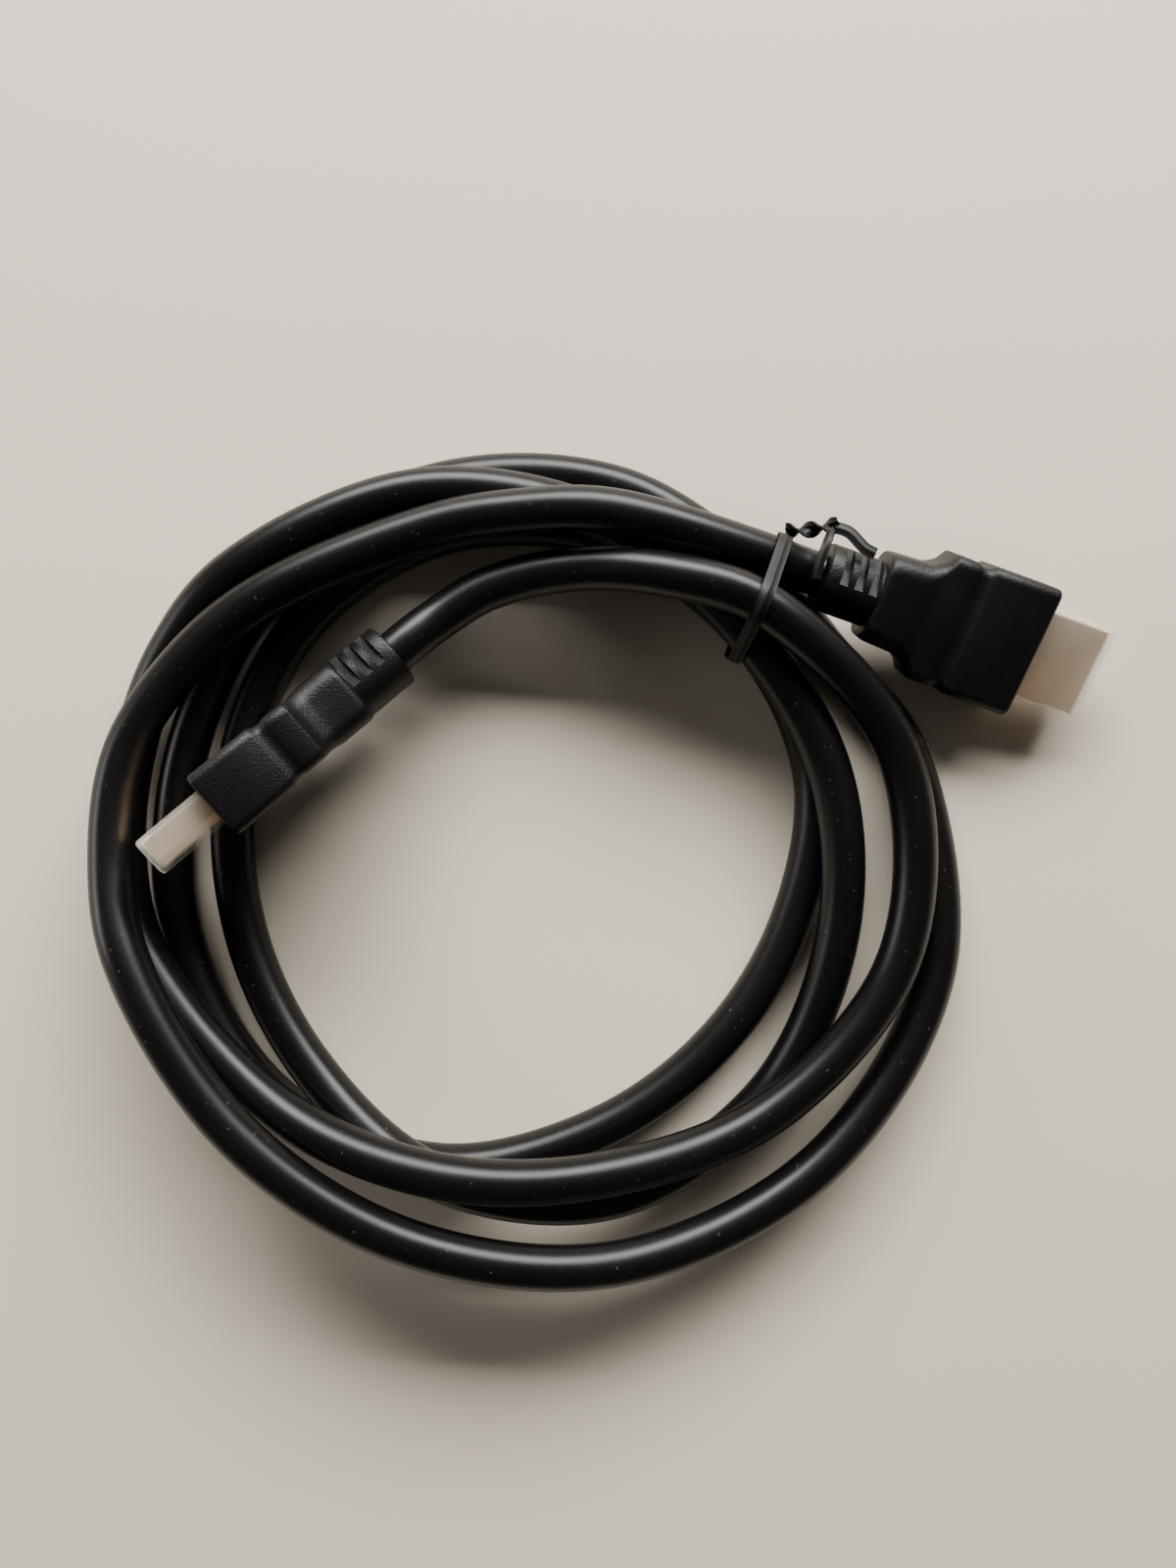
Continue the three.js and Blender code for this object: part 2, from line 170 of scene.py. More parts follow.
class CordSettings(bpy.types.PropertyGroup):
    diameter: FloatProperty(
        name="Diameter", description="Thickness of the cord", default=7.0 * MM,
        unit="LENGTH", min=1 * MM)
    length: FloatProperty(
        name="Length", description="Length of the cord between its plugs", default=1.517,
        unit="LENGTH")
    sides: IntProperty(name="Sides", description="Faces round the cord", default=28, min=8)
    step: FloatProperty(
        name="Step", description="Distance between rings of the cord", default=2.2 * MM,
        unit="LENGTH")
    colour: FloatVectorProperty(
        name="Colour", description="Colour of the jacket", default=(0.0022, 0.0018, 0.0018),
        subtype="COLOR", size=3, min=0, max=1)


class PlugSettings(bpy.types.PropertyGroup):
    relief_length: FloatProperty(
        name="Relief length", description="Length of the strain relief", default=8.8 * MM,
        unit="LENGTH")
    relief_radius: FloatProperty(
        name="Relief radius", description="Radius of the strain relief", default=5.4 * MM,
        unit="LENGTH")
    pocket_width: FloatProperty(
        name="Pocket width", description="Width of a pocket in the relief", default=1.4 * MM,
        unit="LENGTH")
    shell_half_width: FloatProperty(
        name="Shell half width", description="Half the metal shell's width",
        default=6.95 * MM, unit="LENGTH")
    shell_half_height: FloatProperty(
        name="Shell half height", description="Half the metal shell's height",
        default=2.225 * MM, unit="LENGTH")
    shell_reach: FloatProperty(
        name="Shell reach", description="How far the shell stands out of the housing",
        default=10.8 * MM, unit="LENGTH")
    cap_wall: FloatProperty(
        name="Cap wall", description="Thickness of the dust cap's wall", default=0.6 * MM,
        unit="LENGTH")
    contact_pitch: FloatProperty(
        name="Contact pitch", description="Distance between contacts in a row",
        default=1.0 * MM, unit="LENGTH")
    moulding_colour: FloatVectorProperty(
        name="Moulding", description="Colour of the moulded housings",
        default=(0.0016, 0.0013, 0.0013), subtype="COLOR", size=3, min=0, max=1)
    shell_colour: FloatVectorProperty(
        name="Shell", description="Colour of the gold plating",
        default=(0.70, 0.40, 0.12), subtype="COLOR", size=3, min=0, max=1)
    cap_colour: FloatVectorProperty(
        name="Cap", description="Colour of the milky dust caps",
        default=(0.86, 0.80, 0.70), subtype="COLOR", size=3, min=0, max=1)
    cap_opacity: FloatProperty(
        name="Cap opacity", description="How milky the dust caps are", default=0.17,
        subtype="FACTOR", min=0, max=1)
    rim_opacity: FloatProperty(
        name="Rim opacity", description="How milky the caps' end walls are",
        default=0.42, subtype="FACTOR", min=0, max=1)


class TieSettings(bpy.types.PropertyGroup):
    width: FloatProperty(
        name="Width", description="Width of the ribbon", default=2.2 * MM, unit="LENGTH")
    thickness: FloatProperty(
        name="Thickness", description="Thickness of the ribbon's flat edges",
        default=0.3 * MM, unit="LENGTH")
    wire: FloatProperty(
        name="Wire", description="Radius of the wire inside", default=0.33 * MM,
        unit="LENGTH")
    clearance: FloatProperty(
        name="Clearance", description="Gap between the ribbon and the cord",
        default=0.3 * MM, unit="LENGTH")
    colour: FloatVectorProperty(
        name="Colour", description="Colour of the ribbon's coating",
        default=(0.0030, 0.0024, 0.0020), subtype="COLOR", size=3, min=0, max=1)


class StageSettings(bpy.types.PropertyGroup):
    table_colour: FloatVectorProperty(
        name="Table", description="Colour of the table", default=(0.66, 0.575, 0.465),
        subtype="COLOR", size=3, min=0, max=1)
    window_power: FloatProperty(
        name="Window power", description="Strength of the large soft light", default=50.0,
        unit="POWER")
    fill: FloatProperty(
        name="Fill", description="Strength of the light from all round", default=0.08, min=0)


class Shade:
    """A value in a material's tree, for use in Python sums."""

    def __init__(self, finish, socket):
        self.finish = finish
        self.socket = socket

    def _math(self, operation, first, second):
        return self.finish.node("ShaderNodeMath", {"operation": operation}, {0: first, 1: second})

    def __add__(self, other):
        return self._math("ADD", self, other)

    __radd__ = __add__

    def __mul__(self, other):
        return self._math("MULTIPLY", self, other)

    __rmul__ = __mul__

    def __sub__(self, other):
        return self._math("SUBTRACT", self, other)

    def __rsub__(self, other):
        return self._math("SUBTRACT", other, self)


class Finish:
    """A material and the few calls that wire it up."""

    def __init__(self, name, **sockets):
        self.material = bpy.data.materials.new(name)
        self.material.use_nodes = True
        self.tree = self.material.node_tree
        self.shader = self.tree.nodes["Principled BSDF"]
        self.set(**sockets)

    def set(self, **sockets):
        """Values or links for the shader's own sockets."""
        for name, value in sockets.items():
            label = name.replace("_", " ").title().replace("Ior", "IOR")
            self._feed(self.shader.inputs[label], value)

    def _feed(self, socket, value):
        if isinstance(value, Shade):
            self.tree.links.new(value.socket, socket)
        elif socket.type == "RGBA":
            socket.default_value = (*value, 1.0)
        else:
            socket.default_value = value

    def node(self, kind, settings=None, sockets=None, output=0):
        """A new node with its settings, with values or links into its sockets."""
        made = self.tree.nodes.new(kind)
        for name, value in (settings or {}).items():
            if name == "stops":
                ramp = made.color_ramp.elements
                for element, (place, level) in zip((ramp[0], ramp[1]), value):
                    element.position = place
                    element.color = (level, level, level, 1)
            else:
                setattr(made, name, value)
        for key, value in (sockets or {}).items():
            self._feed(made.inputs[key], value)
        return Shade(self, made.outputs[output])

    def place(self):
        return self.node("ShaderNodeTexCoord", output="Object")

    def uv(self):
        return self.node("ShaderNodeTexCoord", output="UV")

    def stretched(self, vector, scale):
        return self.node("ShaderNodeMapping", None, {"Vector": vector, "Scale": scale})

    def noise(self, vector, scale, detail):
        return self.node("ShaderNodeTexNoise", None, {
            "Vector": vector, "Scale": scale, "Detail": detail})

    def cells(self, vector, scale):
        return self.node("ShaderNodeTexVoronoi", None, {"Vector": vector, "Scale": scale})

    def ramp(self, value, low, high):
        """Black below the low value, white above the high one."""
        return self.node("ShaderNodeValToRGB", {"stops": ((low, 0), (high, 1))}, {"Fac": value})

    def mix(self, share, first, second):
        return self.node("ShaderNodeMix", {"data_type": "RGBA"},
                         {0: share, 6: first, 7: second}, output=2)

    def bump(self, height, distance, strength):
        return self.node("ShaderNodeBump", None, {
            "Height": height, "Distance": distance, "Strength": strength}, output="Normal")


def lighter(colour, times):
    """The colour with each channel multiplied, up to full."""
    return tuple(min(1.0, channel * times) for channel in colour)


def jacket_finish(colour):
    finish = Finish("jacket_pvc", specular_ior_level=0.30)
    along = finish.uv()
    place = finish.place()
    cloud = finish.noise(place, 55.0, 4.0)
    grain = finish.noise(place, 2600.0, 2.0)
    drawn = finish.noise(finish.stretched(along, (260.0, 2.2, 1.0)), 3.0, 3.0)
    dust = finish.ramp(finish.noise(place, 1500.0, 1.0), 0.735, 0.78)
    base = finish.mix(cloud, colour, lighter(colour, 1.5))
    finish.set(
        base_color=finish.mix(dust * 0.25, base, (0.16, 0.14, 0.12)),
        roughness=0.24 + cloud * 0.12 + drawn * 0.06 + dust * 0.2,
        normal=finish.bump(grain * 0.55 + drawn * 0.45, 0.00003, 0.5))
    return finish.material


def moulding_finish(colour):
    finish = Finish("moulded_pvc", specular_ior_level=0.28)
    place = finish.place()
    pits = finish.cells(place, 3300.0)
    grain = finish.noise(place, 4200.0, 3.0)
    cloud = finish.noise(place, 160.0, 4.0)
    rubbed = finish.ramp(finish.noise(place, 420.0, 6.0), 0.55, 0.75)
    base = finish.mix(cloud, colour, lighter(colour, 1.6))
    finish.set(
        base_color=finish.mix(rubbed * 0.4, base, lighter(colour, 6.0)),
        roughness=0.34 + grain * 0.14 + cloud * 0.1 - rubbed * 0.06,
        normal=finish.bump(pits * 0.6 + grain * 0.5, 0.00007, 0.9))
    return finish.material


def gold_finish(colour):
    finish = Finish("gold_plate", metallic=1.0)
    place = finish.place()
    rolled = finish.noise(finish.stretched(place, (1.0, 12.0, 12.0)), 240.0, 3.0)
    stain = finish.noise(place, 130.0, 4.0)
    finish.set(
        base_color=finish.mix(stain, colour, (0.88, 0.66, 0.36)),
        roughness=0.22 + rolled * 0.12 + stain * 0.08,
        normal=finish.bump(rolled, 0.00001, 0.4))
    return finish.material


def insulation_finish():
    finish = Finish("insulator_plastic")
    place = finish.place()
    grain = finish.noise(place, 2500.0, 3.0)
    finish.set(
        base_color=finish.mix(grain, (0.010, 0.010, 0.011), (0.020, 0.020, 0.021)),
        roughness=0.45 + grain * 0.15,
        normal=finish.bump(grain, 0.00002, 0.5))
    return finish.material


def cap_finish(name, colour, opacity):
    finish = Finish(name, ior=1.51, alpha=opacity)
    place = finish.place()
    cloud = finish.noise(place, 180.0, 4.0)
    scuff = finish.noise(finish.stretched(place, (1.0, 4.0, 4.0)), 900.0, 4.0)
    finish.set(
        base_color=finish.mix(cloud, colour, lighter(colour, 1.08)),
        roughness=0.30 + cloud * 0.12 + scuff * 0.08,
        normal=finish.bump(scuff, 0.00002, 0.4))
    return finish.material


def tie_finish(colour):
    finish = Finish("coated_ribbon", specular_ior_level=0.28)
    place = finish.place()
    cloud = finish.noise(place, 500.0, 4.0)
    grain = finish.noise(place, 3800.0, 3.0)
    finish.set(
        base_color=finish.mix(cloud, colour, lighter(colour, 2.2)),
        roughness=0.42 + cloud * 0.16,
        normal=finish.bump(grain * 0.5 + cloud * 0.5, 0.00004, 0.6))
    return finish.material


def table_finish(colour):
    finish = Finish("pale_table")
    place = finish.place()
    cloud = finish.noise(place, 9.0, 3.0)
    finish.set(
        base_color=finish.mix(cloud, lighter(colour, 0.97), lighter(colour, 1.03)),
        roughness=0.62 + cloud * 0.06)
    return finish.material


def plug_matrix(name):
    """From a plug's own axes, +X out of its nose and +Y across its width, to its place."""
    place, heading, drop, roll = PLUGS[name]
    turned = Euler((math.radians(roll), math.radians(drop), math.radians(heading)), "XYZ")
    return Matrix.Translation(from_coil(place)) @ turned.to_matrix().to_4x4()


def from_coil(spot):
    """A place given from the coil's axis, in the part's frame."""
    return (Vector(spot) + COIL_CENTRE) * MM


def behind(name, distance):
    """A point on a plug's axis, in the cord's direction from the relief's free end."""
    return plug_matrix(name) @ Vector((-distance * MM, 0, 0))


def route():
    """The points of the cord's middle in the part's frame."""
    points = [behind("plug_a", SEAT_GAP), behind("plug_a", CORD_LEAD)]
    for angle, radius, height in TURNS:
        around = math.radians(angle)
        points.append(from_coil((radius * math.cos(around), radius * math.sin(around), height)))
    points += [from_coil(spot) for spot in INNER_ARC]
    return points + [behind("plug_b", CORD_LEAD), behind("plug_b", SEAT_GAP)]


def smooth_line(points, step):
    """Evenly spaced points on the centripetal curve through the given ones."""
    ends = [2 * points[0] - points[1], *points, 2 * points[-1] - points[-2]]
    fine = []
    for before, start, end, after in zip(ends, ends[1:], ends[2:], ends[3:]):
        gaps = [math.sqrt((b - a).length) for a, b in
                ((before, start), (start, end), (end, after))]
        leave = ((start - before) / gaps[0] - (end - before) / (gaps[0] + gaps[1])
                 + (end - start) / gaps[1]) * gaps[1]
        arrive = ((end - start) / gaps[1] - (after - start) / (gaps[1] + gaps[2])
                  + (after - end) / gaps[2]) * gaps[1]
        for part in range(CURVE_PARTS):
            t = part / CURVE_PARTS
            fine.append((2 * t ** 3 - 3 * t ** 2 + 1) * start + (t ** 3 - 2 * t ** 2 + t) * leave
                        + (3 * t ** 2 - 2 * t ** 3) * end + (t ** 3 - t ** 2) * arrive)
    fine.append(points[-1])
    total = sum((b - a).length for a, b in zip(fine, fine[1:]))
    count = max(2, round(total / step))
    spaced, walked, target = [fine[0]], 0.0, total / count
    for a, b in zip(fine, fine[1:]):
        length = (b - a).length
        while len(spaced) < count and walked + length >= target * len(spaced):
            spaced.append(a.lerp(b, (target * len(spaced) - walked) / length))
        walked += length
    return [*spaced, fine[-1]]


def frames_along(points, closed=False):
    """Direction and a steady sideways at each point of a line."""
    count = len(points)
    ways = []
    for i in range(count):
        ahead = points[(i + 1) % count] if closed or i + 1 < count else points[i]
        back = points[i - 1] if closed or i > 0 else points[i]
        ways.append((ahead - back).normalized())
    side = ways[0].orthogonal().normalized()
    frames = []
    for way in ways:
        side = (side - way * side.dot(way)).normalized()
        frames.append((way, side, way.cross(side)))
    return frames


def skin(rings, closed=False, uv_length=None):
    """A mesh through equal rings of points, each anticlockwise seen from the far end."""
    mesh = bmesh.new()
    layer = mesh.loops.layers.uv.new("UVMap")
    rows = [[mesh.verts.new(point) for point in ring] for ring in rings]
    count = len(rows[0])
    turns = len(rows) if closed else len(rows) - 1
    for i in range(turns):
        here, there = rows[i], rows[(i + 1) % len(rows)]
        for j in range(count):
            k = (j + 1) % count
            face = mesh.faces.new((here[j], here[k], there[k], there[j]))
            if uv_length:
                for loop, (across, along) in zip(
                        face.loops, ((j, i), (j + 1, i), (j + 1, i + 1), (j, i + 1))):
                    loop[layer].uv = (across / count, along / turns * uv_length)
    if not closed:
        mesh.faces.new(list(reversed(rows[0])))
        mesh.faces.new(rows[-1])
    return mesh


def new_object(name, mesh, material=None, sharp=35):
    """An object from a bmesh, smooth but for its sharp edges."""
    data = bpy.data.meshes.new(name)
    mesh.to_mesh(data)
    mesh.free()
    made = bpy.data.objects.new(name, data)
    bpy.context.scene.collection.objects.link(made)
    if material:
        data.materials.append(material)
    data.shade_smooth()
    data.set_sharp_from_angle(angle=math.radians(sharp))
    return made


def settled(made):
    """The object with its modifiers worked into a plain mesh."""
    graph = bpy.context.evaluated_depsgraph_get()
    data = bpy.data.meshes.new_from_object(made.evaluated_get(graph))
    made.modifiers.clear()
    made.data = data
    return made


def carve(made, tools, operation):
    """Cuts the tools out of an object, or joins them to it, and deletes them."""
    for tool in tools:
        change = made.modifiers.new("carve", "BOOLEAN")
        change.operation = operation
        change.solver = "EXACT"
        change.object = tool
    settled(made)
    for tool in tools:
        bpy.data.objects.remove(tool)
    return made


def bevel(made, width):
    """Rounds the sharper edges and leaves flat faces flat to the light."""
    edge = made.modifiers.new("bevel", "BEVEL")
    edge.width = width
    edge.segments = 2
    edge.limit_method = "ANGLE"
    edge.angle_limit = math.radians(EDGE_ANGLE)
    edge.harden_normals = True
    return settled(made)


def rounded_rings(sections, steps):
    """Rounded rectangles strung along +X."""
    rings = []
    for along, half_width, half_height, corner in sections:
        ring = []
        for quarter in range(4):
            y = (1 if quarter in (0, 3) else -1) * (half_width - corner)
            z = (1 if quarter < 2 else -1) * (half_height - corner)
            for step in range(steps + 1):
                angle = (quarter + step / steps) * math.pi / 2
                ring.append(Vector((along, y + corner * math.cos(angle),
                                    z + corner * math.sin(angle))) * MM)
        rings.append(ring)
    return rings


def round_rings(sections, sides):
    """Circles strung along +X."""
    return [[Vector((along, radius * math.cos(2 * math.pi * j / sides),
                     radius * math.sin(2 * math.pi * j / sides))) for j in range(sides)]
            for along, radius in sections]


def prism(name, outline, start, end, turn=0.0):
    """An outline drawn out along +X and turned about it."""
    rings = [[Vector((along, y, z)) for y, z in outline] for along in (start, end)]
    made = new_object(name, skin(rings))
    made.data.transform(Matrix.Rotation(math.radians(turn), 4, "X"))
    return made


def shell_outline(plugs, growth):
    """The metal shell's outline, two corners cut, moved outwards by the growth."""
    width = plugs.shell_half_width + growth
    height = plugs.shell_half_height + growth
    cut = SHELL_CHAMFER * MM + growth * (2 - math.sqrt(2))
    return [(width, height), (-width, height), (-width, cut - height),
            (cut - width, -height), (width - cut, -height), (width, cut - height)]


def set_place(made, name):
    """Takes an object from a plug's own axes to the plug's place, in its mesh."""
    made.data.transform(plug_matrix(name))
    made.data.update()
    return made


class CABLE_OT_stage(bpy.types.Operator):
    """Make the camera, the pale table and the soft lights"""

    bl_idname = "cable.stage"
    bl_label = "Camera, table and lights"

    def execute(self, context):
        stage = context.scene.cable_stage
        camera = bpy.data.objects.new("camera", bpy.data.cameras.new("camera"))
        camera.location = from_coil(CAMERA_PLACE)
        camera.data.lens = CAMERA_LENS
        camera.data.sensor_width = CAMERA_SENSOR
        camera.data.clip_start, camera.data.clip_end = CAMERA_REACH
        context.scene.collection.objects.link(camera)
        context.scene.camera = camera
        bpy.ops.mesh.primitive_plane_add(size=TABLE_SIZE, location=(0, 0, 0))
        table = context.object
        table.name = "table"
        table.data.materials.append(table_finish(stage.table_colour))
        for name, (place, size, share) in LIGHTS.items():
            light = bpy.data.lights.new(name, "AREA")
            light.shape = "RECTANGLE"
            light.size, light.size_y = size
            light.energy = stage.window_power * share
            light.color = LIGHT_COLOUR
            lamp = bpy.data.objects.new(name, light)
            lamp.location = place
            lamp.rotation_euler = (-Vector(place)).to_track_quat("-Z", "Y").to_euler()
            context.scene.collection.objects.link(lamp)
        world = bpy.data.worlds.new("soft_room")
        world.use_nodes = True
        sky = world.node_tree.nodes["Background"]
        sky.inputs["Color"].default_value = ROOM_COLOUR
        sky.inputs["Strength"].default_value = stage.fill
        context.scene.world = world
        return {"FINISHED"}


class CABLE_OT_cord(bpy.types.Operator):
    """Make the cord along its coiled route"""

    bl_idname = "cable.cord"
    bl_label = "Cord"

    def execute(self, context):
        cord = context.scene.cable_cord
        line = smooth_line(route(), cord.step)
        radius = cord.diameter / 2
        rings = [[point + side * (radius * math.cos(2 * math.pi * j / cord.sides))
                  + up * (radius * math.sin(2 * math.pi * j / cord.sides))
                  for j in range(cord.sides)]
                 for point, (_, side, up) in zip(line, frames_along(line))]
        made = new_object("cord", skin(rings, uv_length=cord.length), jacket_finish(cord.colour))
        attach(made, ROOT)
        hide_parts("cable")
        line[::PATH_STRIDE] + [line[-1]]
        return {"FINISHED"}


def housing_body(plugs, name, material):
    """The front block and the waist behind it, from the relief's root to the flat front."""
    sections = [(along + plugs.relief_length / MM, *rest) for along, *rest in HOUSING_SECTIONS]
    return new_object(name, skin(rounded_rings(sections, HOUSING_CORNER_STEPS)), material)


def relief_sleeve(plugs):
    """The round strain relief, run on into the housing's rear."""
    sections = [(along * MM, plugs.relief_radius - less * MM) for along, less in RELIEF_EDGE]
    sections.append((plugs.relief_length + RELIEF_ROOT * MM, plugs.relief_radius))
    return new_object("sleeve", skin(round_rings(sections, RELIEF_SIDES)))


def relief_pockets(plugs):
    """The cutters for the pockets on two opposite quarters of the relief."""
    floor = POCKET_FLOOR * MM
    edge = plugs.relief_radius + OVERCUT * MM
    span = plugs.relief_radius
    outline = ((floor, -span), (edge, -span), (edge, span), (floor, span))
    return [prism("pocket", outline, start * MM, start * MM + plugs.pocket_width, turn)
            for start in POCKET_STARTS for turn in POCKET_TURNS]


def shell_socket(plugs):
    """The cutter for the hole in the housing's front that holds the metal shell."""
    front = plugs.relief_length + HOUSING_LENGTH * MM
    return prism("socket", shell_outline(plugs, SEAT_GAP * MM),
                 front - SOCKET_DEPTH * MM, front + OVERCUT * MM)


class CABLE_OT_housings(bpy.types.Operator):
    """Make both moulded housings with their slotted strain reliefs"""

    bl_idname = "cable.housings"
    bl_label = "Plug housings"

    def execute(self, context):
        plugs = context.scene.cable_plugs
        material = moulding_finish(plugs.moulding_colour)
        for name in PLUGS:
            made = housing_body(plugs, name + "_moulding", material)
            carve(made, [relief_sleeve(plugs)], "UNION")
            carve(made, [*relief_pockets(plugs), shell_socket(plugs)], "DIFFERENCE")
            made.data.shade_smooth()
            made.data.set_sharp_from_angle(angle=math.radians(HOUSING_SHARP))
            bevel(made, EDGE_ROUND * MM)
            set_place(made, name)
            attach(made, ROOT)
            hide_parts(name + "_housing")
        return {"FINISHED"}


class CABLE_OT_shells(bpy.types.Operator):
    """Give the metal shells and the insulators in them their finishes"""

    bl_idname = "cable.shells"
    bl_label = "Shells and insulators"

    def execute(self, context):
        gold = gold_finish(context.scene.cable_plugs.shell_colour)
        plastic = insulation_finish()
        for name in PLUGS:
            for part, material in (("_shell", gold), ("_insulator", plastic)):
                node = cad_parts[name + part]
                node.data.materials.clear()
                node.data.materials.append(material)
        return {"FINISHED"}


class CABLE_OT_contacts(bpy.types.Operator):
    """Set the rows of contacts into each insulator's slot"""

    bl_idname = "cable.contacts"
    bl_label = "Contacts"

    def execute(self, context):
        plugs = context.scene.cable_plugs
        gold = bpy.data.materials["gold_plate"]
        tree = contact_row_tree(gold)
        mouth = plugs.relief_length + plugs.shell_reach
        mouth += (HOUSING_LENGTH - INSULATOR_SETBACK) * MM
        values = {
            "Pitch": plugs.contact_pitch,
            "Length": CONTACT_LENGTH * MM,
            "Width": CONTACT_WIDTH * MM,
            "Thickness": CONTACT_THICKNESS * MM,
            "Height": CONTACT_HEIGHT * MM,
            "Middle": mouth - (CONTACT_SETBACK + CONTACT_LENGTH / 2) * MM,
        }
        for name in PLUGS:
            base = new_object(name + "_contacts", bmesh.new(), gold)
            rows = base.modifiers.new("rows", "NODES")
            rows.node_group = tree
            for item in tree.interface.items_tree:
                if item.name in values:
                    rows[item.identifier] = values[item.name]
            base.update_tag()
            settled(base)
            base.data.materials.clear()
            base.data.materials.append(gold)
            set_place(base, name)
            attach(base, ROOT)
        return {"FINISHED"}


def contact_row_tree(material):
    """Geometry nodes for ten contacts over nine, each a thin gold strip."""
    tree = bpy.data.node_groups.new("contact_rows", "GeometryNodeTree")
    for name in ("Pitch", "Length", "Width", "Thickness", "Height", "Middle"):
        tree.interface.new_socket(name, in_out="INPUT", socket_type="NodeSocketFloat")
    tree.interface.new_socket("Geometry", in_out="OUTPUT", socket_type="NodeSocketGeometry")
    nodes, links = tree.nodes, tree.links
    given = nodes.new("NodeGroupInput")
    result = nodes.new("NodeGroupOutput")

    def combine(x, y, z):
        made = nodes.new("ShaderNodeCombineXYZ")
        for socket, value in zip(made.inputs, (x, y, z)):
            if hasattr(value, "node"):
                links.new(value, socket)
            else:
                socket.default_value = value
        return made.outputs[0]

    def scaled(value, times):
        made = nodes.new("ShaderNodeMath")
        made.operation = "MULTIPLY"
        links.new(value, made.inputs[0])
        made.inputs[1].default_value = times
        return made.outputs[0]

    strip = nodes.new("GeometryNodeMeshCube")
    links.new(combine(given.outputs["Length"], given.outputs["Width"],
                      given.outputs["Thickness"]), strip.inputs["Size"])
    joined = nodes.new("GeometryNodeJoinGeometry")
    for count, side in CONTACT_ROWS:
        row = nodes.new("GeometryNodeMeshLine")
        row.inputs["Count"].default_value = count
        first = scaled(given.outputs["Pitch"], -(count - 1) / 2)
        height = scaled(given.outputs["Height"], side)
        links.new(combine(given.outputs["Middle"], first, height), row.inputs["Start Location"])
        links.new(combine(0.0, given.outputs["Pitch"], 0.0), row.inputs["Offset"])
        spread = nodes.new("GeometryNodeInstanceOnPoints")
        links.new(row.outputs[0], spread.inputs["Points"])
        links.new(strip.outputs["Mesh"], spread.inputs["Instance"])
        links.new(spread.outputs[0], joined.inputs[0])
    real = nodes.new("GeometryNodeRealizeInstances")
    links.new(joined.outputs[0], real.inputs[0])
    painted = nodes.new("GeometryNodeSetMaterial")
    painted.inputs["Material"].default_value = material
    links.new(real.outputs[0], painted.inputs["Geometry"])
    links.new(painted.outputs[0], result.inputs[0])
    return tree


def cap_body(plugs, name, material):
    """A cap that clears the metal shell all round and covers it up to the housing."""
    front = (plugs.relief_length + plugs.shell_reach) / MM + HOUSING_LENGTH
    rear = plugs.relief_length / MM + HOUSING_LENGTH + SEAT_GAP
    tip = front + SEAT_GAP + CAP_END_WALL
    wall = plugs.cap_wall / MM + SEAT_GAP
    width = plugs.shell_half_width / MM + wall
    height = plugs.shell_half_height / MM + wall
    sections = [(rear + along, width - inset, height - inset, corner)
                for along, inset, corner in CAP_MOUTH]
    sections += [(tip - along, width - inset, height - inset, corner)
                 for along, inset, corner in CAP_END]
    made = new_object(name, skin(rounded_rings(sections, CAP_CORNER_STEPS)), material)
    hollow = prism("hollow", shell_outline(plugs, SEAT_GAP * MM), (rear - OVERCUT) * MM,
                   (front + SEAT_GAP) * MM)
    return carve(made, [hollow], "DIFFERENCE")


class CABLE_OT_caps(bpy.types.Operator):
    """Make the two milky dust caps, denser in their end walls and rims"""

    bl_idname = "cable.caps"
    bl_label = "Dust caps"

    def execute(self, context):
        plugs = context.scene.cable_plugs
        material = cap_finish("milky_cap", plugs.cap_colour, plugs.cap_opacity)
        rim = cap_finish("milky_cap_rim", plugs.cap_colour, plugs.rim_opacity)
        for name in PLUGS:
            made = cap_body(plugs, name + "_dust_cap", material)
            made.data.materials.clear()
            made.data.materials.append(material)
            made.data.materials.append(rim)
            for face in made.data.polygons:
                face.material_index = 1 if abs(face.normal.x) > CAP_RIM_SLOPE else 0
            set_place(made, name)
            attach(made, CAP_BODIES[name])
            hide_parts(name + "_cap")
        return {"FINISHED"}


def tie_loop(tie, cord):
    """The tie's loop in its own plane: the hull of the strands that cross it.

    Strands beyond the coil's middle aren't in the bundle.
    """
    across = TIE_ALONG.cross(UPWARDS)
    centre = from_coil(TIE_CENTRE)
    strands = []
    for point in smooth_line(route(), STRAND_STEP * MM):
        offset = point - centre
        near = abs(offset.dot(across)) < tie.width
        if near and offset.dot(TIE_ALONG) > -TIE_CENTRE.length * MM:
            strands.append((offset.dot(TIE_ALONG), offset.z))
    reach = cord.diameter / 2 + tie.clearance + tie.thickness / 2
    turns = [2 * math.pi * k / STRAND_SIDES for k in range(STRAND_SIDES)]
    return hull([(u + reach * math.cos(turn), z + reach * math.sin(turn))
                 for u, z in strands for turn in turns])


def tie_end(start, tail, phase):
    """One end of the tie: twisted round the other up to their parting, then free."""
    end = from_coil(TWIST_END)
    ahead = (end - start).normalized()
    level = UPWARDS.cross(ahead).normalized()
    points, sides = [], []
    for step in range(TWIST_STEPS + 1):
        share = step / TWIST_STEPS
        turn = (share * TWIST_TURNS + phase) * 2 * math.pi
        out = level * math.cos(turn) + ahead.cross(level) * math.sin(turn)
        points.append(start.lerp(end, share) + out * TWIST_RADIUS * MM)
        sides.append(out)
    free = smooth_line([from_coil(spot) for spot in tail], TAIL_STEP * MM)
    flat = UPWARDS.cross((free[-1] - free[0]).normalized())
    rest = level.lerp(flat, TAIL_TILT).normalized()
    points += free[2:]
    return points, sides + [rest] * (len(points) - len(sides))


